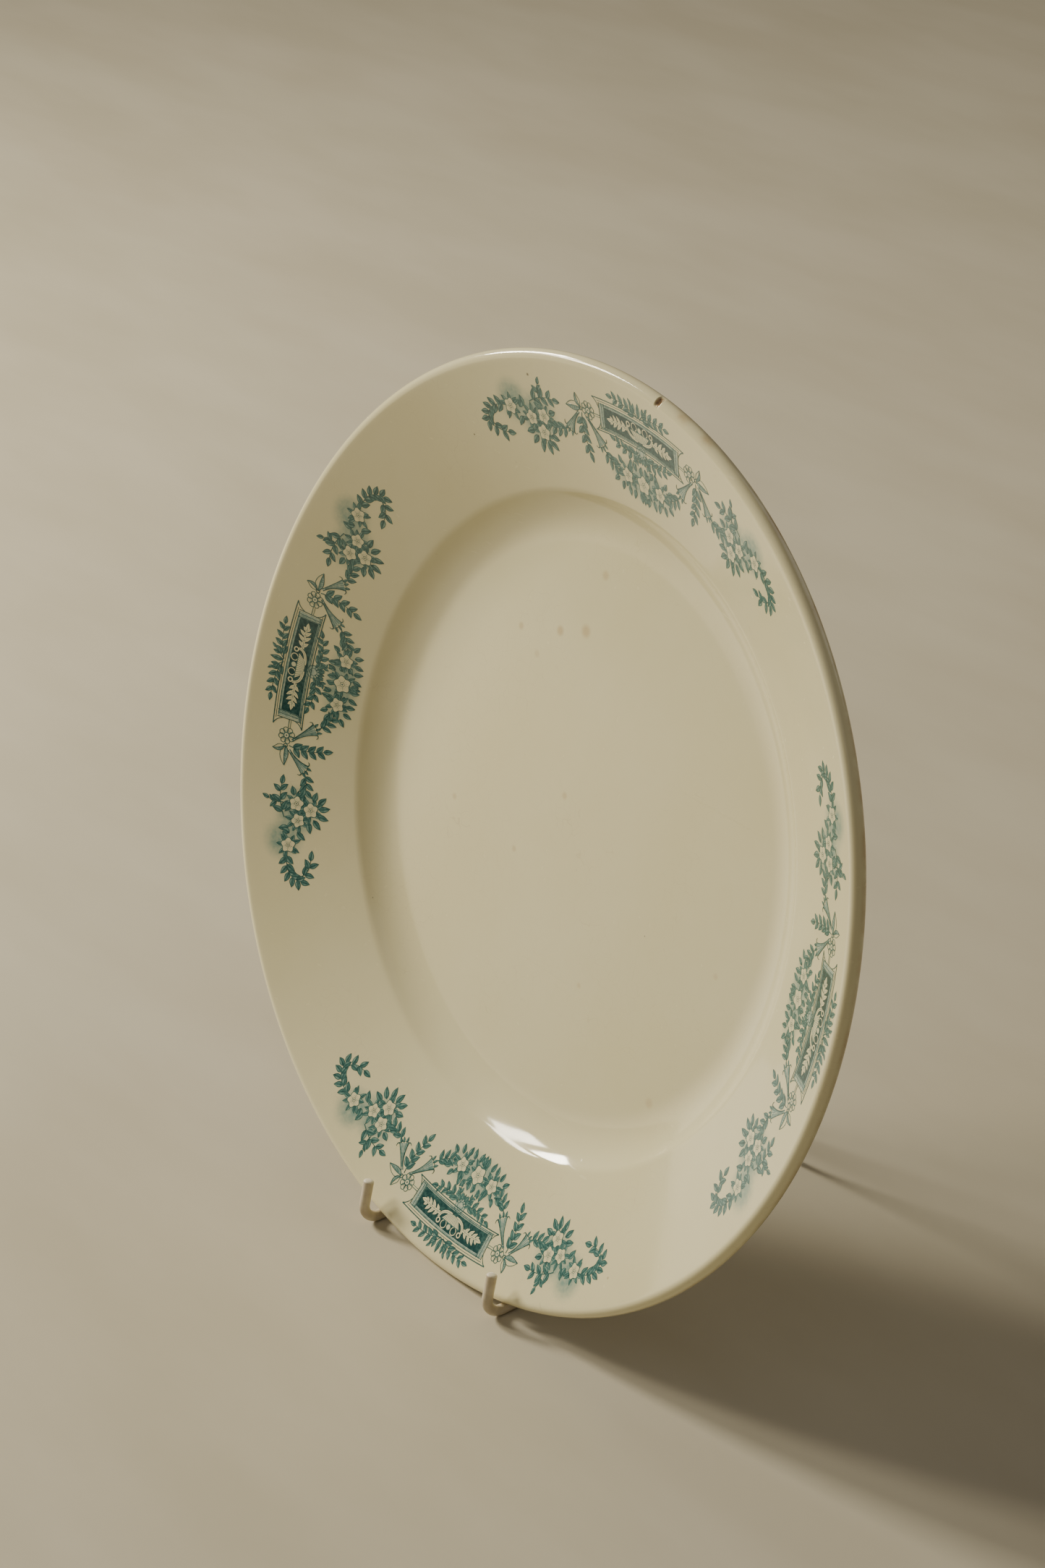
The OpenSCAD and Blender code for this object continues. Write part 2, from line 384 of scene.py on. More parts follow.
def wire_material():
    """Dull nickel plate, tarnished in places, with small rust spots."""
    mat, tree, shader = new_material("plated_wire")
    tarnish = spread(tree, noise(tree, 90, 4), 0.42, 0.66)
    base = mixed(tree, tarnish, NICKEL, NICKEL_DULL)
    rust = spread(tree, noise(tree, 260, 5), 0.66, 0.74)
    base = mixed(tree, maths(tree, "MULTIPLY", rust, 0.7), base, WIRE_RUST)
    link(tree, base, shader.inputs["Base Color"])
    shader.inputs["Metallic"].default_value = 1.0
    dull = spread(tree, tarnish, 0, 1, 0.26, 0.46)
    rough = maths(tree, "ADD", dull, maths(tree, "MULTIPLY", rust, 0.3))
    link(tree, rough, shader.inputs["Roughness"])
    bumped(tree, shader, maths(tree, "ADD", noise(tree, 900, 3), rust), 0.00006, 0.6)
    return mat


def sleeve_material():
    """Aged cream soft plastic, slightly grubby, paler where trimmed at the open end and with a painted
    highlight on the round tip.
    """
    mat, tree, shader = new_material("soft_sleeve")
    grime = spread(tree, noise(tree, 150, 5), 0.42, 0.68)
    base = mixed(tree, grime, SLEEVE_CREAM, SLEEVE_GRIMY)
    # Paler where trimmed at the open end, and a painted highlight over the round tip.
    base = mixed(tree, attribute(tree, "cut_and_tip_highlight"), base, SLEEVE_CUT_AND_HIGHLIGHT)
    link(tree, base, shader.inputs["Base Color"])
    link(tree, spread(tree, noise(tree, 70, 3), 0.3, 0.7, 0.36, 0.52), shader.inputs["Roughness"])
    shader.inputs["IOR"].default_value = 1.5
    shader.inputs["Subsurface Weight"].default_value = 0.12
    shader.inputs["Subsurface Radius"].default_value = (0.0012, 0.0009, 0.0006)
    bumped(tree, shader, noise(tree, 700, 3), 0.00008, 0.5)
    return mat


# ---------------------------------------------------------------- meshes
def add_mesh(name, points, faces, material, attributes=None, smooth=True):
    """New object from points and faces, with named values on its points."""
    mesh = bpy.data.meshes.new(name)
    mesh.from_pydata([tuple(p) for p in points], [], faces)
    for key, values in (attributes or {}).items():
        layer = mesh.attributes.new(key, "FLOAT", "POINT")
        layer.data.foreach_set("value", np.asarray(values, np.float32))
    mesh.polygons.foreach_set("use_smooth", [smooth] * len(mesh.polygons))
    mesh.materials.append(material)
    mesh.update()
    obj = bpy.data.objects.new(name, mesh)
    bpy.context.scene.collection.objects.link(obj)
    return obj


def arc(cx, cz, radius, start, end, steps):
    angles = np.linspace(start, end, steps)
    return [(cx + radius * math.cos(a), cz + radius * math.sin(a)) for a in angles]


# A point nearer than this to the one before it is dropped, because it makes faces with hardly any area.
LEAST_STEP = 0.08


def platter_profile():
    """Outline from near the middle of the face, over the lip and back to near the middle of the foot."""
    quarter = math.pi / 2
    front = [(r, FLOOR_Z) for r in np.linspace(4, COVE_X - 1.5, 22)]
    front += arc(COVE_X, COVE_Z, COVE_R, -quarter, WELL_SLOPE - quarter, 16)
    front += arc(SHOULDER_CX, SHOULDER_CZ, SHOULDER_R, quarter + WELL_SLOPE, quarter + RIM_SLOPE, 8)
    front += [(r, float(rim_z(r))) for r in np.linspace(SHOULDER_X + 1.3, LIP_JOIN - 1.0, 30)]
    lip = arc(LIP_C, LIP_Z, LIP_R, quarter + RIM_SLOPE, RIM_SLOPE - quarter + 0.2, 18)
    below = WALL / math.cos(RIM_SLOPE)
    under = [(r, float(rim_z(r)) - below) for r in np.linspace(LIP_JOIN - 1, SHOULDER_X + 3, 12)]
    under += arc(SHOULDER_CX, SHOULDER_CZ, SHOULDER_R - WALL, quarter + RIM_SLOPE, quarter + WELL_SLOPE, 3)
    under += arc(COVE_X, COVE_Z, COVE_R + WALL, WELL_SLOPE - quarter, -quarter + 0.02, 10)
    corner = 0.6
    foot_in = FOOT_OUT - FOOT_W - 2 * FOOT_DRAFT
    foot = [(FOOT_OUT - 0.1, FOOT_H - 0.3)]
    foot += arc(FOOT_OUT - FOOT_DRAFT - corner + 0.3, corner, corner, -0.3, -quarter, 4)
    foot += [(FOOT_OUT - FOOT_DRAFT - FOOT_W / 2, 0.0)]
    foot += arc(foot_in + FOOT_DRAFT + corner - 0.3, corner, corner, -quarter, -math.pi + 0.3, 4)
    foot += [(foot_in + 0.1, FOOT_H - 0.3), (foot_in - 0.6, FOOT_H)]
    back = [(r, FOOT_H) for r in np.linspace(foot_in - 4, 5, 10)]
    profile = front + lip + under + foot + back
    return [p for p, before in zip(profile, [(0, 0)] + profile) if math.dist(p, before) > LEAST_STEP]


# The chip in the lip: its place round the dish, half its angle, and its depth.
CHIP_ANGLE = math.radians(80.4)
CHIP_HALF = 1.25 / EDGE_R
CHIP_DEPTH = 0.75
# Two rubbed places on the lip: angle in degrees, and spread in radians.
RUBBED = ((76.1, 0.018), (71.4, 0.014))


def around():
    """Angles round the dish, closer together at the chip."""
    even = np.linspace(-math.pi, math.pi, 500, endpoint=False)
    fine = CHIP_ANGLE + np.linspace(-1.6 * CHIP_HALF, 1.6 * CHIP_HALF, 25)
    kept = even[(even < fine[0] - 0.003) | (even > fine[-1] + 0.003)]
    return np.sort(np.concatenate([kept, fine]))


def chipped(r, z, a):
    """Bite out of the lip's outer front edge. Gives the new place and how bare it is."""
    rng = np.random.default_rng(5)
    jag = rng.normal(0, 0.16, a.shape)
    along = np.clip(1 - np.abs((a - CHIP_ANGLE) / CHIP_HALF + 0.25 * jag), 0, 1)
    turn = np.arctan2(z - LIP_Z, r - LIP_C)
    near_lip = (r > LIP_JOIN - 1.0) & (z > LIP_Z - 1.6)
    across = np.clip(1 - np.abs(turn - 0.95) / 0.85, 0, 1)
    depth = np.where(near_lip, CHIP_DEPTH * np.minimum(1, 2.2 * along) * np.minimum(1, 1.8 * across), 0)
    depth *= 1 + 0.8 * jag
    toward = np.maximum(np.hypot(r - LIP_C, z - LIP_Z), 1e-6)
    new_r = r - depth * (r - LIP_C) / toward
    new_z = z - depth * (z - LIP_Z) / toward
    return new_r, new_z, np.clip(depth / 0.5, 0, 1)


def lip_wear(r, z, a):
    """Brown staining along the lip's outer right side, and the rubbed places on its top."""
    lip_turn = np.arctan2(z - LIP_Z, r - LIP_C)
    outer = np.clip(1 - np.abs(lip_turn + 0.75) / 1.3, 0, 1) * (r > LIP_C - 0.5)
    right_side = np.clip(np.cos(a - math.radians(8)) * 1.1 + 0.25, 0, 1)
    rubbed = sum(np.exp(-((a - math.radians(angle)) / width) ** 2) for angle, width in RUBBED)
    upper = np.clip(1 - np.abs(lip_turn - 0.6) / 0.9, 0, 1) * (r > LIP_C)
    return np.clip(0.85 * outer * right_side + 0.8 * upper * rubbed, 0, 1)


def turned_faces(n, m):
    """Faces of a profile of n points turned through m places, with a fan at each end."""
    faces = []
    for i in range(n - 1):
        for j in range(m):
            k = (j + 1) % m
            faces.append(((i + 1) * m + j, (i + 1) * m + k, i * m + k, i * m + j))
    last = (n - 1) * m
    faces += [(n * m, j, (j + 1) % m) for j in range(m)]
    faces += [(n * m + 1, last + (j + 1) % m, last + j) for j in range(m)]
    return faces


def make_platter(material):
    """The whole fired dish, with its wear and its blurred print as values on its points."""
    profile = np.array(platter_profile())
    angles = around()
    n, m = len(profile), len(angles)
    r, a = np.meshgrid(profile[:, 0], angles, indexing="ij")
    z = np.repeat(profile[:, 1:], m, axis=1)
    r, z, chip = chipped(r, z, a)
    x, y = r * np.cos(a), r * np.sin(a)
    z = z + warp(r, a)
    before_lip = np.arange(n)[:, None] < profile[:, 0].argmax()
    bleed = np.where(before_lip & (r < LIP_JOIN), cloud_tone(x, y), 0)
    foot_face = (z < warp(r, a) + 0.25) & (r < FOOT_OUT)
    layers = {"bleed": bleed, "worn": lip_wear(r, z, a), "bare": foot_face.astype(float), "chip": chip}
    layers = {key: np.append(value.ravel(), (0, 0)) for key, value in layers.items()}
    points = list(place_all(np.stack([x, y, z], -1).reshape(-1, 3)))
    points += [place(0, 0, FLOOR_Z)[:], place(0, 0, FOOT_H)[:]]
    piece = add_mesh("glazed_platter", points, turned_faces(n, m), material, layers)
    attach(piece, "platter")
    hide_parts("platter")


# ---------------------------------------------------------------- drawing the print
# Each garland is drawn flat: u along the rim, v towards the lip, in millimetres. Its parts lie at
# slightly different heights over the glaze, so that one can cover another.
LIFT = {"ground": 0.022, "leaf": 0.030, "petal": 0.044, "line": 0.054, "over": 0.064}
SINK = -0.03
# Patches of one layer that overlap differ by a few of these steps, so that they don't flicker.
PATCH_STEP = 0.0002
PATCH_STEPS = 37


class Print:
    """Collects flat patches of ink, and lays them on the rim as thin closed plates."""

    def __init__(self):
        self.points, self.tones, self.lifts, self.faces = [], [], [], []

    def sheet(self, rows, tones, layer):
        """Patch through rows of points, with a tone for each row or each point."""
        count, first = len(rows[0]), len(self.points)
        for row, tone in zip(rows, tones):
            self.points += [tuple(p) for p in row]
            self.tones += [tone] * count if np.isscalar(tone) else list(tone)
        lift = LIFT[layer] + PATCH_STEP * (len(self.faces) % PATCH_STEPS)
        self.lifts += [lift] * (count * len(rows))
        starts = [first + k * count + i for k in range(len(rows) - 1) for i in range(count - 1)]
        quads = [(j, j + 1, j + count + 1, j + count) for j in starts]
        area = sum(self.signed_area(q) for q in quads)
        self.faces.append([q if area > 0 else q[::-1] for q in quads])

    def signed_area(self, quad):
        """Twice the area of a quad, above 0 if it runs anticlockwise."""
        p = [self.points[i] for i in quad]
        return sum(p[i - 1][0] * p[i][1] - p[i][0] * p[i - 1][1] for i in range(4))

    def mirrored(self):
        """The same drawing on the other side of u = 0."""
        first, groups = len(self.points), list(self.faces)
        self.points += [(-u, v) for u, v in self.points]
        self.tones += self.tones
        self.lifts += self.lifts
        self.faces += [[tuple(first + i for i in q[::-1]) for q in group] for group in groups]

    def lay(self, name, material):
        """Drops the drawing onto the rim at one garland's place, as closed plates."""
        middle, along, outward = garland_axes(name)
        flat = np.array(self.points)
        xy = middle + flat[:, :1] * along + flat[:, 1:] * outward
        r, a = np.hypot(xy[:, 0], xy[:, 1]), np.arctan2(xy[:, 1], xy[:, 0])
        base = rim_z(r) + warp(r, a)
        flipped = along[0] * outward[1] - along[1] * outward[0] < 0
        top = place_all(np.column_stack([xy, base + np.array(self.lifts)]))
        bottom = place_all(np.column_stack([xy, base + SINK]))
        count, faces = len(top), []
        for group in self.faces:
            edges = {}
            for q in group:
                q = q[::-1] if flipped else q
                faces += [q, tuple(count + i for i in q[::-1])]
                for i in range(4):
                    edge = (q[i], q[(i + 1) % 4])
                    if edge[::-1] in edges:
                        del edges[edge[::-1]]
                    else:
                        edges[edge] = True
            faces += [(j, i, count + i, count + j) for i, j in edges]
        tones = {"tone": np.tile(self.tones, 2)}
        piece = add_mesh("print_" + name, np.vstack([top, bottom]), faces, material, tones, smooth=False)
        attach(piece, "platter")


def polar(angle, length=1.0):
    return np.array([math.cos(math.radians(angle)), math.sin(math.radians(angle))]) * length


def curve(a, b, c, steps=9):
    """Points on a quadratic curve from a to c, pulled towards b."""
    t = np.linspace(0, 1, steps)[:, None]
    a, b, c = (np.array(p, float) for p in (a, b, c))
    return (1 - t) ** 2 * a + 2 * t * (1 - t) * b + t ** 2 * c


def sides(path):
    """Unit normals to the left of a path."""
    d = np.gradient(np.asarray(path, float), axis=0)
    d /= np.maximum(np.linalg.norm(d, axis=1)[:, None], 1e-9)
    return np.column_stack([-d[:, 1], d[:, 0]])


def stroke(ink, path, start_w, end_w, tone=0.85, layer="line"):
    """Line of ink that tapers from one width to the other."""
    path = np.asarray(path, float)
    half = np.linspace(start_w, end_w, len(path))[:, None] / 2
    side = sides(path)
    ink.sheet((path + side * half, path - side * half), (tone, tone), layer)


def leaf(ink, at, angle, length, width, bend=0.0):
    """Pointed leaf: dark along its rib and at its base, paler on one half, with an outline."""
    at = np.array(at, float)
    tip = at + polar(angle, 1.08 * length)
    middle = (at + tip) / 2 + polar(angle + 90, bend * length)
    rib = curve(at, middle, tip, 7)
    t = np.linspace(0, 1, 7)
    half = 0.72 * width * np.sin(np.pi * t ** 0.8) ** 0.85
    half[[0, -1]] = 0.03
    side = sides(rib) * half[:, None]
    rows = [rib + side * share for share in (1, 0.5, 0, -0.5, -1)]
    pale = np.sin(np.pi * t)
    tones = (0.86, 0.86 - 0.42 * pale, 0.96 - 0.1 * t, 0.86 - 0.24 * pale, 0.94)
    ink.sheet(rows, tones, "leaf")


def sprig(ink, path, pairs, length, width, spread_deg, taper):
    """Stem with leaves in near pairs along it and one at its end."""
    path = np.asarray(path, float)
    stroke(ink, path, 0.34, 0.2, 0.8)
    side = sides(path)
    for i in range(pairs):
        at = (i + 0.55) / (pairs + 0.3) * (len(path) - 1)
        k = int(at)
        here = path[k] + (path[min(k + 1, len(path) - 1)] - path[k]) * (at - k)
        heading = math.degrees(math.atan2(-side[k][0], side[k][1]))
        size = 1 - (1 - taper) * i / max(1, pairs - 1)
        for s, shift in ((1, 0.35), (-1, -0.1)):
            base = here + polar(heading, shift)
            leaf(ink, base, heading + s * spread_deg, length * size, width * size, -0.10 * s)
    heading = math.degrees(math.atan2(-side[-1][0], side[-1][1]))
    leaf(ink, path[-1], heading, length * taper, width * taper)


def ring(ink, at, radius, width, tone, layer, steps=30):
    """Round outline."""
    a = np.linspace(0, 2 * np.pi, steps + 1)
    unit = np.column_stack([np.cos(a), np.sin(a)])
    at = np.array(at, float)
    ink.sheet((at + unit * (radius + width / 2), at + unit * (radius - width / 2)), (tone, tone), layer)


def disc(ink, at, radius, tone, layer, lobes=0, depth=0.0, turn=0.0, steps=30, edge_tone=None):
    """Filled shape, round or with petals, with its own tone at the edge."""
    a = np.linspace(0, 2 * np.pi, steps + 1)
    notch = 0.5 - 0.5 * np.cos(lobes * (a - math.radians(turn)))
    r = radius * (1 - depth * notch)
    unit = np.column_stack([np.cos(a), np.sin(a)])
    at = np.array(at, float)
    edge_tone = tone if edge_tone is None else edge_tone
    ink.sheet((at + unit * r[:, None], at + unit * 0.02), (edge_tone, tone), layer)


def flower(ink, at, size, turn=90.0, length=3.0):
    """Pale five-petalled flower among leaves: notched petals with a dark outline, and a dotted eye."""
    for i in range(9):
        a = turn + 40 * i + 18 + 9 * math.sin(3.1 * i + turn)
        grow = length * (1 + 0.18 * math.sin(2.3 * i + 1.7 * size + turn))
        leaf(ink, np.array(at) + polar(a, size * 0.62), a + 12 * math.sin(1.7 * i + turn), grow, 1.05, 0.07)
    disc(ink, at, size * 1.14, 0.80, "leaf", 5, 0.20, turn, 40)
    disc(ink, at, size * 1.04, 0.12, "petal", 5, 0.26, turn, 40, edge_tone=0.0)
    at = np.array(at, float)
    for i in range(5):
        a = turn + 72 * i + 36
        stroke(ink, [at + polar(a, size * 0.32), at + polar(a, size * 0.70)], 0.16, 0.12, 0.62)
        for s in (-14, 14):
            b = turn + 72 * i + s
            stroke(ink, [at + polar(b, size * 0.40), at + polar(b, size * 0.62)], 0.09, 0.06, 0.5)
    ring(ink, at, size * 0.27, 0.15, 0.8, "over", steps=14)
    disc(ink, at, size * 0.10, 0.85, "over", steps=8)


def rosette(ink, at, size):
    """Outlined rosette of eight petals."""
    at = np.array(at, float)
    for i in range(8):
        a = 45 * i + 22
        petal = at + polar(a, size * 0.64)
        ring(ink, petal, size * 0.31, 0.24, 0.80, "line", steps=14)
        stroke(ink, [at + polar(a, size * 0.36), petal], 0.10, 0.06, 0.55)
    disc(ink, at, size * 0.30, 0.10, "over", steps=14)
    ring(ink, at, size * 0.29, 0.18, 0.8, "over", steps=14)
    disc(ink, at, size * 0.10, 0.8, "over", steps=8)


def open_leaf(ink, at, angle, length, width, bend=0.0):
    """Large outlined leaf of the bow, with one half shaded by lines."""
    at = np.array(at, float)
    tip = at + polar(angle, length)
    rib = curve(at, (at + tip) / 2 + polar(angle + 90, bend * length), tip, 9)
    t = np.linspace(0, 1, 9)
    half = width / 2 * np.sin(np.pi * t ** 0.8)
    side = sides(rib) * half[:, None]
    ink.sheet((rib, rib - side), (0.62, 0.36), "leaf")
    stroke(ink, rib + side, 0.20, 0.20, 0.78)
    stroke(ink, rib - side, 0.26, 0.26, 0.86)
    stroke(ink, rib, 0.22, 0.12, 0.82)
    for i in range(2, 8):
        stroke(ink, [rib[i], rib[i] - side[i] * 0.85 + (rib[i] - rib[i - 1]) * 0.5], 0.12, 0.08, 0.75)


def trumpet(ink, path, neck, bell):
    """Flaring flower seen from the side, with two curled tips at its mouth."""
    path = np.asarray(path, float)
    t = np.linspace(0, 1, len(path))
    half = (neck + (bell - neck) * t ** 2.4) / 2
    side = sides(path) * half[:, None]
    ink.sheet((path + side, path, path - side), (0.62, 0.24, 0.70), "leaf")
    stroke(ink, path + side, 0.22, 0.26, 0.86)
    stroke(ink, path - side, 0.26, 0.34, 0.92)
    for share in (-0.45, 0.0, 0.42):
        stroke(ink, (path + side * share)[1:], 0.10, 0.13, 0.74)
    end, ahead = path[-1], path[-1] - path[-2]
    ahead = ahead / np.linalg.norm(ahead)
    for s in (1, -1):
        lip = end + side[-1] * s
        out = side[-1] / np.linalg.norm(side[-1]) * s
        curl = curve(lip, lip + out * 0.9 + ahead * 0.2, lip + out * 1.1 - ahead * 0.9, 7)
        stroke(ink, curl, 0.42, 0.16, 0.88)
    mouth = curve(end + side[-1], end + ahead * 1.1, end - side[-1], 9)
    stroke(ink, mouth, 0.22, 0.22, 0.85)
    heading = math.degrees(math.atan2(ahead[1], ahead[0]))
    for share in (-0.5, 0.1, 0.6):
        leaf(ink, end + side[-1] * share, heading + 34 * share, 1.9, 0.7)


def bow(u):
    """How far a line along the cartouche falls away from the lip at u, to follow the rim."""
    return np.asarray(u) ** 2 / 285.0


def bowed(u, v):
    return np.column_stack([u, v - bow(u)])


FRAME_STEPS = 25
FRAME_TONE = 0.86


def frame_line(ink, half_w, v, width):
    path = bowed(np.linspace(-half_w, half_w, FRAME_STEPS), v)
    stroke(ink, path, width, width, FRAME_TONE)


def band(ink, half_low, half_high, v_low, v_high, tone_low, tone_high, layer):
    """Bowed band between two heights, from one side of the cartouche to the other."""
    low = bowed(np.linspace(-half_low, half_low, FRAME_STEPS), v_low)
    high = bowed(np.linspace(-half_high, half_high, FRAME_STEPS), v_high)
    ink.sheet((high, low), (tone_high, tone_low), layer)


def acanthus(ink, at, facing, length):
    """Pale lobed leaf that lies along the panel."""
    at = np.array(at, float)
    stem = curve(at, at + (facing * length * 0.5, 0.3), at + (facing * length, -0.5), 9)
    heading = 0 if facing > 0 else 180
    for i, size in ((1, 2.3), (3, 2.9), (5, 2.6), (7, 1.7)):
        for s in (1, -1):
            pale_leaf(ink, stem[i], heading + s * facing * 50, size, 1.2)
    pale_leaf(ink, stem[-1] - (facing * 0.6, 0), heading, 2.4, 1.3)
    stroke(ink, stem, 1.0, 0.6, 0.04, "petal")
    stroke(ink, stem, 0.16, 0.10, 0.62)


def pale_leaf(ink, at, angle, length, width):
    """Light lobe left white in the dark panel, with a thin rib."""
    at = np.array(at, float)
    rib = curve(at, at + polar(angle, length / 2), at + polar(angle, length), 6)
    half = width / 2 * np.sin(np.pi * np.linspace(0.06, 0.97, 6) ** 0.8)
    side = sides(rib) * half[:, None]
    ink.sheet((rib + side, rib - side), (0.0, 0.08), "petal")
    stroke(ink, rib[:-1], 0.12, 0.06, 0.55)


def panel(ink):
    """Dark panel with a pale bowl on scrolled arms, and a leaf at each end."""
    band(ink, 17.0, 17.0, 7.9, 14.6, 0.92, 0.98, "leaf")
    for s in (1, -1):
        acanthus(ink, (s * 6.4, 10.9), s, 7.8)
        arm = curve((s * 1.2, 9.2), (s * 5.9, 9.0), (s * 6.2, 12.2), 10)
        stroke(ink, arm, 1.0, 0.8, 0.04, "petal")
        stroke(ink, arm, 0.13, 0.13, 0.6)
        ring(ink, (s * 5.6, 13.0), 0.75, 0.42, 0.05, "petal", steps=12)
        disc(ink, (s * 2.7, 13.1), 1.05, 0.98, "line", steps=14)
        ring(ink, (s * 2.7, 13.1), 1.25, 0.3, 0.08, "petal", steps=14)
    bowl_top = bowed(np.linspace(-4.6, 4.6, 13), 11.9)
    foot_v = 9.5 - 0.5 * np.cos(np.linspace(-1.5, 1.5, 13))
    bowl_low = np.column_stack([np.linspace(-2.6, 2.6, 13), foot_v])
    ink.sheet((bowl_top, bowl_low), (0.04, 0.12), "line")
    for i in range(1, 12):
        stroke(ink, [bowl_top[i] * (1, 0.985), bowl_low[i]], 0.16, 0.10, 0.6, "over")
    stroke(ink, bowl_top, 0.30, 0.30, 0.75, "over")
    disc(ink, (0, 12.9), 0.9, 0.10, "over", steps=14)
    ring(ink, (0, 12.9), 0.9, 0.16, 0.7, "over", steps=14)


def moulding_ticks(ink):
    """Short strokes across the moulding above and below the panel."""
    for v_a, v_b in ((15.4, 14.9), (7.5, 8.0)):
        for i in range(-37, 38):
            u = i * 0.5
            stroke(ink, bowed(np.array([u, u + 0.12]), np.array([v_a, v_b])), 0.14, 0.10, 0.66)


def frame_end(ink, s):
    """Upright lines, ticks and pointed corners at the end of the frame on side s."""
    for low, high, width in ((19.1, 19.7, 0.3), (18.0, 18.4, 0.18), (17.2, 17.2, 0.26)):
        side = [(s * low, 6.9 - bow(low)), (s * (low + high) / 2, 11.2 - bow(high)),
                (s * high, 15.7 - bow(high))]
        stroke(ink, side, width, width, FRAME_TONE)
    for v in np.arange(7.6, 15.2, 0.5):
        stroke(ink, [(s * 17.5, v - 1.1), (s * 18.0, v - 1.0)], 0.13, 0.10, 0.64)
    stroke(ink, curve((s * 22.7, 15.2), (s * 20.6, 14.6), (s * 19.7, 12.4), 7), 0.36, 0.2, 0.84)
    stroke(ink, curve((s * 21.5, 4.8), (s * 19.9, 5.6), (s * 19.2, 8.2), 7), 0.36, 0.2, 0.84)


def cartouche(ink):
    """Bowed double frame with toned moulding and pointed corners."""
    band(ink, 18.9, 19.3, 6.9, 15.6, 0.30, 0.36, "ground")
    for half_w, v, width in ((22.7, 17.0, 0.34), (20.4, 16.2, 0.16), (19.2, 15.4, 0.24),
                             (21.5, 6.4, 0.34), (20.0, 7.1, 0.18), (18.9, 7.5, 0.2)):
        frame_line(ink, half_w, v, width)
    moulding_ticks(ink)
    for s in (1, -1):
        frame_end(ink, s)
    panel(ink)


def frame_sprays(ink):
    """Leafy sprays above and below the frame."""
    sprig(ink, curve((0.8, 16.8), (5.5, 19.0), (12.6, 18.6), 12), 4, 3.4, 1.35, 42, 0.85)
    sprig(ink, curve((0.5, 16.6), (1.8, 18.2), (3.3, 20.0), 7), 1, 2.6, 1.0, 30, 0.8)
    sprig(ink, curve((1.5, 5.2), (6.0, 2.6), (12.6, 4.6), 12), 4, 3.3, 1.35, 44, 0.85)
    sprig(ink, curve((0.7, 4.9), (2.2, 3.4), (3.4, 0.8), 7), 2, 2.4, 0.95, 36, 0.8)
    for a in (-76, -52, -26):
        leaf(ink, polar(a, 1.9) + (0, 6.0), a, 2.4, 0.8)


def bow_knot(ink):
    """Rosette beside the frame, with its open leaves, two trumpets and a hanging spray."""
    stroke(ink, [(19.6, 9.9), (22.4, 9.6)], 0.26, 0.2, 0.8)
    stroke(ink, [(19.6, 9.2), (22.4, 8.9)], 0.16, 0.14, 0.7)
    rosette(ink, (25.1, 9.4), 3.05)
    open_leaf(ink, (28.6, 8.8), -12, 7.0, 3.0, 0.10)
    open_leaf(ink, (28.8, 9.2), 62, 4.4, 2.2, -0.14)
    ring(ink, (28.6, 8.8), 0.65, 0.3, 0.85, "over", steps=12)
    trumpet(ink, curve((26.2, 7.0), (22.6, 4.2), (19.4, 0.2), 9), 0.7, 4.0)
    trumpet(ink, curve((29.6, 7.2), (32.4, 4.0), (34.2, -0.2), 9), 0.7, 3.8)
    sprig(ink, curve((28.2, 7.6), (28.8, 2.0), (25.8, -4.6), 14), 4, 3.7, 1.5, 40, 0.9)


def swag(ink):
    """Leaves and a flower under the frame."""
    sprig(ink, curve((18.6, -0.8), (16.8, -3.4), (12.8, -4.6), 12), 3, 3.3, 1.2, 46, 1.0)
    for at, angle, length in (((3.6, -1.9), 66, 3.0), ((6.4, -1.8), 98, 3.0), ((10.6, -2.2), 60, 2.8),
                              ((1.6, -2.0), 104, 2.6), ((12.2, -3.2), 30, 3.0), ((12.2, -7.0), -40, 3.0),
                              ((10.0, -7.6), -74, 3.2), ((7.4, -8.0), -96, 3.2), ((4.4, -8.2), -74, 3.4),
                              ((2.0, -8.4), -100, 3.2), ((4.0, -4.2), 20, 2.0), ((4.2, -6.6), -20, 2.2)):
        leaf(ink, at, angle, length, 1.25, 0.06)
    flower(ink, (8.0, -4.9), 2.35, 78)


def end_cluster(ink):
    """Flowers among leaves, and the curled spray at the garland's end."""
    sprig(ink, curve((35.2, -0.4), (38.4, -2.6), (42.6, -3.0), 12), 3, 3.4, 1.3, 46, 1.0)
    for at, angle, length in (((43.6, -8.4), 214, 3.6), ((45.2, -9.2), 244, 4.0), ((47.2, -9.4), 272, 4.2),
                              ((49.2, -8.8), 302, 4.0), ((50.6, -7.6), 332, 3.8), ((43.4, -6.4), 186, 3.4),
                              ((44.0, 0.6), 150, 3.2), ((55.2, -1.4), 66, 3.4), ((55.4, -4.8), 292, 3.8),
                              ((56.8, -2.4), 100, 2.8), ((48.8, -3.8), 250, 2.4), ((42.9, -1.8), 190, 2.6)):
        leaf(ink, at, angle, length, 1.5, 0.08)
    sprig(ink, curve((52.4, 1.4), (47.4, 5.6), (42.0, 6.0), 12), 3, 3.7, 1.5, 48, 0.9)
    sprig(ink, curve((47.6, 3.6), (48.8, 6.2), (48.2, 8.6), 8), 1, 3.0, 1.2, 42, 0.9)
    for at, size, turn in (((46.3, -1.2), 2.45, 100), ((51.6, -3.7), 2.3, 66), ((46.6, -6.8), 2.5, 84),
                           ((60.8, -3.5), 2.45, 90)):
        flower(ink, at, size, turn)
    sprig(ink, curve((62.8, -4.0), (71.6, -6.2), (70.6, -12.6), 16), 5, 3.5, 1.5, 46, 0.95)
    sprig(ink, curve((69.4, -11.6), (67.2, -14.6), (62.8, -13.2), 10), 2, 3.5, 1.4, 46, 1.0)


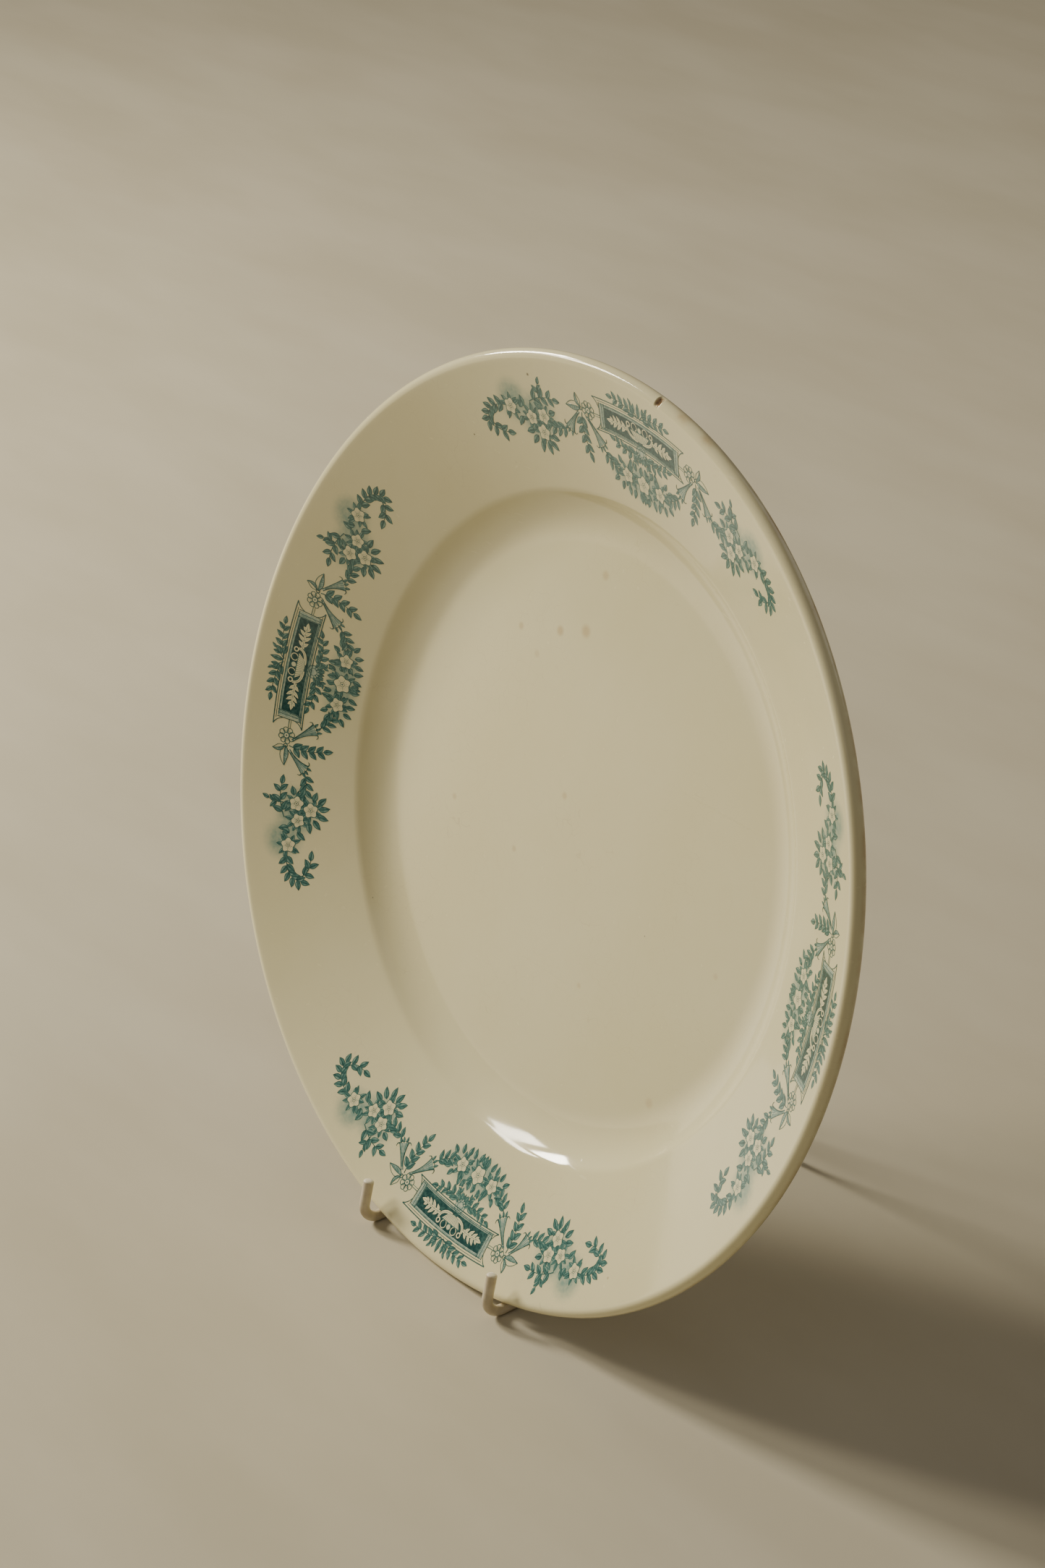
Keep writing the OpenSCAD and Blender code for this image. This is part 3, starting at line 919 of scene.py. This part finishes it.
def middle_flower(ink):
    """Leaves, shell and flower on the garland's middle line."""
    leaf(ink, (0, 16.8), 90, 4.6, 1.3)
    leaf(ink, (0, 5.2), -90, 3.4, 1.0)
    disc(ink, (0, 5.6), 2.3, 0.30, "leaf", steps=18)
    for size in (2.3, 1.3):
        ring(ink, (0, 5.6), size, 0.2, 0.8, "line", steps=18)
    for angle, length in ((-90, 3.4), (-112, 2.8), (-68, 2.8)):
        leaf(ink, (0.3, -8.2), angle, length, 1.2)
    flower(ink, (0.3, -5.1), 2.9, 90)


def draw_garland():
    """One whole garland: half of it mirrored, then what stands in the middle."""
    ink = Print()
    frame_sprays(ink)
    bow_knot(ink)
    swag(ink)
    end_cluster(ink)
    ink.mirrored()
    cartouche(ink)
    middle_flower(ink)
    return ink


# ---------------------------------------------------------------- the stand's sleeves
# Millimetres: outer radius, radius of the wire inside, radius of the hook's bend, rounding of the
# cut end, and how far the bore is tighter than the wire.
SLEEVE_R = 1.8
WIRE_R = 1.2
HOOK_BEND_R = 5.5
CUT_EDGE = 0.18
GRIP = 0.04
TIP_STEPS = 12
TURN_STEPS = 22
ARM_STEPS = 16
SLEEVE_SIDES = 40


def sleeve_path(lo, hi):
    """Middle line of a sleeve in its own y-z plane: down the tip, round the bend, back along the arm."""
    z_arm = lo.z / MM + SLEEVE_R
    bend_y = lo.y / MM + SLEEVE_R + HOOK_BEND_R
    back_end = hi.y / MM
    centre = np.array([bend_y, z_arm + HOOK_BEND_R])
    tip_dir = np.array([math.sin(LEAN), math.cos(LEAN)])
    start = centre + HOOK_BEND_R * np.array([-math.cos(LEAN), math.sin(LEAN)])
    tip_len = (hi.z / MM - SLEEVE_R * math.sin(LEAN) - start[1]) / math.cos(LEAN)
    tip = [start + tip_dir * s for s in np.linspace(tip_len, 0.4, TIP_STEPS)]
    turn = [centre + HOOK_BEND_R * np.array([math.cos(a), math.sin(a)])
            for a in np.linspace(math.pi - LEAN, 1.5 * math.pi, TURN_STEPS)]
    arm = [np.array([y, z_arm]) for y in np.linspace(bend_y + 0.5, back_end, ARM_STEPS)]
    return np.array(tip + turn + arm)


def sleeve_rings(count):
    """Rings over the round tip, along the outside, round the cut end and back up the bore.

    Each ring is a place on the path, a radius, how far it stands ahead of that place, and its
    share of the paler colour: the trimmed plastic at the open end, and a painted highlight over the round
    tip.
    """
    bore = WIRE_R - GRIP
    # The round tip's rings take the paler colour as a painted highlight.
    rings = [(0, SLEEVE_R * share, ahead, 1) for share, ahead in ((0.35, 0.02), (0.7, 0.12), (0.9, 0.33))]
    rings += [(0, SLEEVE_R, 0.62, 0.5)]
    rings += [(i, SLEEVE_R, 0, 0) for i in range(1, count - 1)]
    rings += [(count - 1, SLEEVE_R, -CUT_EDGE, 0), (count - 1, SLEEVE_R - CUT_EDGE, 0.0, 1),
              (count - 1, bore + CUT_EDGE, 0.0, 1), (count - 1, bore, -CUT_EDGE, 1)]
    rings += [(i, bore, 0, 0) for i in range(count - 2, 0, -1)]
    return rings


def tube_faces(total, n):
    """Faces between rings of n points, each to the next."""
    faces = []
    for i in range(total - 1):
        faces += [(i * n + k, i * n + (k + 1) % n, (i + 1) * n + (k + 1) % n, (i + 1) * n + k)
                  for k in range(n)]
    return faces


def wrinkle(i, a):
    """How far the sleeve's outside sinks: folds inside its bend, and a slight unevenness."""
    bend_share = math.sin(math.pi * min(1, max(0, (i - TIP_STEPS) / TURN_STEPS)))
    inner = max(0.0, math.cos(a)) * bend_share
    return 0.05 * inner * (1 + math.sin(i * 1.9)) + 0.02 * (1 + math.sin(3 * a + i * 0.35)) / 2


def face_outwards(piece):
    recalc = bmesh.new()
    recalc.from_mesh(piece.data)
    bmesh.ops.recalc_face_normals(recalc, faces=recalc.faces)
    recalc.to_mesh(piece.data)
    recalc.free()


def make_sleeve(node_name, material):
    """Thin soft tube with a closed round tip painted paler as a highlight, an open trimmed end and small
    wrinkles in its bend.
    """
    lo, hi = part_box(node_name)
    x_mid = (lo.x + hi.x) / 2 / MM
    path = sleeve_path(lo, hi)
    d = np.gradient(path, axis=0)
    d /= np.linalg.norm(d, axis=1)[:, None]
    out = np.column_stack([-d[:, 1], d[:, 0]])
    n = SLEEVE_SIDES
    rings = sleeve_rings(len(path))
    points, cut_and_tip_highlight = [], []
    for i, radius, ahead, cut_and_highlight_share in rings:
        middle = path[i] + d[i] * ahead
        for k in range(n):
            a = 2 * math.pi * k / n
            r = radius - wrinkle(i, a) if radius == SLEEVE_R else radius
            flat = middle + out[i] * r * math.cos(a)
            points.append((x_mid + r * math.sin(a), flat[0], flat[1]))
            cut_and_tip_highlight.append(cut_and_highlight_share)
    faces = tube_faces(len(rings), n)
    # The tip's middle point takes the painted highlight's paler colour; the bore's closing point does not.
    for first, middle, cut_and_highlight_share in ((0, path[0], 1), ((len(rings) - 1) * n, path[1], 0)):
        faces += [(len(points), first + k, first + (k + 1) % n) for k in range(n)]
        points.append((x_mid, *middle))
        cut_and_tip_highlight.append(cut_and_highlight_share)
    piece = add_mesh(node_name + "_tube", np.array(points) * MM, faces, material, {"cut_and_tip_highlight": cut_and_tip_highlight})
    face_outwards(piece)
    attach(piece, "stand_front")
    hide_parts(node_name)


# ---------------------------------------------------------------- stage, light and camera
FLOOR_HALF = 6


def floor_material():
    """Matt pale floor, faintly streaked."""
    mat, tree, shader = new_material("pale_floor")
    tone = spread(tree, noise(tree, 6, 4, ((1, 3, 1), (0, 0, 0.6))), 0.35, 0.65)
    link(tree, mixed(tree, tone, FLOOR_LIGHT, FLOOR_DARK), shader.inputs["Base Color"])
    shader.inputs["Roughness"].default_value = 0.6
    bumped(tree, shader, noise(tree, 120, 4), 0.0002, 0.25)
    return mat


def make_stage():
    """Plain pale floor."""
    corners = [(x * FLOOR_HALF, y * FLOOR_HALF, 0) for x, y in ((-1, -1), (1, -1), (1, 1), (-1, 1))]
    floor = add_mesh("floor", corners, [(0, 1, 2, 3)], floor_material(), smooth=False)


def area_light(name, centre, target, size, power, colour):
    data = bpy.data.lights.new(name, "AREA")
    data.shape = "RECTANGLE"
    data.size, data.size_y = size
    data.energy = power
    data.color = colour
    lamp = bpy.data.objects.new(name, data)
    turn = (target - centre).to_track_quat("-Z", "Y").to_matrix().to_4x4()
    lamp.matrix_world = Matrix.Translation(centre) @ turn
    bpy.context.scene.collection.objects.link(lamp)


def direction(azimuth, elevation):
    """Unit vector; azimuth 0 is towards -Y and turns towards +X."""
    a, e = math.radians(azimuth), math.radians(elevation)
    return Vector((math.sin(a) * math.cos(e), -math.cos(a) * math.cos(e), math.sin(e)))


WINDOW_COLOUR = (1.0, 0.93, 0.77)
WINDOW_GAP = 1.7
WINDOW_H = 0.46
FILL_COLOUR = (1.0, 0.95, 0.88)
FILL_GAP = 2.2


def make_lights():
    """A soft window in two parts on the left, two weak fills, and a dim warm room."""
    target = LIP_CENTRE
    for name, azimuth, elevation, width, power in (("window_far", -73, 28, 0.26, 27.0),
                                                   ("window_near", -58, 31, 0.24, 12.5)):
        centre = target + direction(azimuth, elevation) * WINDOW_GAP
        area_light(name, centre, target, (width, WINDOW_H), power, WINDOW_COLOUR)
    for name, azimuth, elevation, width, power in (("fill", 30, 55, 1.8, 2.5),
                                                   ("back_fill", 165, 40, 1.6, 5.0)):
        centre = target + direction(azimuth, elevation) * FILL_GAP
        area_light(name, centre, target, (width, width), power, FILL_COLOUR)
    world = bpy.data.worlds.new("soft_room")
    world.use_nodes = True
    shade = world.node_tree.nodes["Background"]
    shade.inputs["Color"].default_value = (0.78, 0.70, 0.58, 1)
    shade.inputs["Strength"].default_value = 0.15
    bpy.context.scene.world = world


# The lens in millimetres for a picture 36 mm tall, the view's angles in degrees, and the distance
# and shift of the aim in metres. The view was fitted to the platter's outline and print in the
# photo, for this lens.
LENS = 83.026
PICTURE_H = 36
VIEW_AZIMUTH = 52.96
VIEW_ELEVATION = 27.81
VIEW_ROLL = -0.88
VIEW_DISTANCE = 1.1381
AIM_SHIFT = Vector((-0.00575, 0.00484, 0.01423))


def make_camera():
    data = bpy.data.cameras.new("camera")
    data.sensor_width = PICTURE_H
    data.lens = LENS
    data.clip_start, data.clip_end = 0.05, 30
    camera = bpy.data.objects.new("camera", data)
    aim = LIP_CENTRE + AIM_SHIFT
    centre = aim + direction(VIEW_AZIMUTH, VIEW_ELEVATION) * VIEW_DISTANCE
    turn = (aim - centre).to_track_quat("-Z", "Y").to_matrix().to_4x4()
    roll = Matrix.Rotation(math.radians(VIEW_ROLL), 4, "Z")
    camera.matrix_world = Matrix.Translation(centre) @ turn @ roll
    bpy.context.scene.collection.objects.link(camera)
    bpy.context.scene.camera = camera


# ---------------------------------------------------------------- build
make_camera()
make_lights()
make_stage()
make_platter(china_material())
drawing, ink_finish = draw_garland(), ink_material()
for garland in GARLANDS:
    drawing.lay(garland, ink_finish)
sleeve_finish, wire_finish = sleeve_material(), wire_material()
for sleeve in ("hook_sleeve_left", "hook_sleeve_right"):
    make_sleeve(sleeve, sleeve_finish)
# The wires are shown as the CAD made them, with this finish.
for wire in ("front_wire", "rear_leg"):
    for slot in frame["nodes"][wire].material_slots:
        slot.material = wire_finish
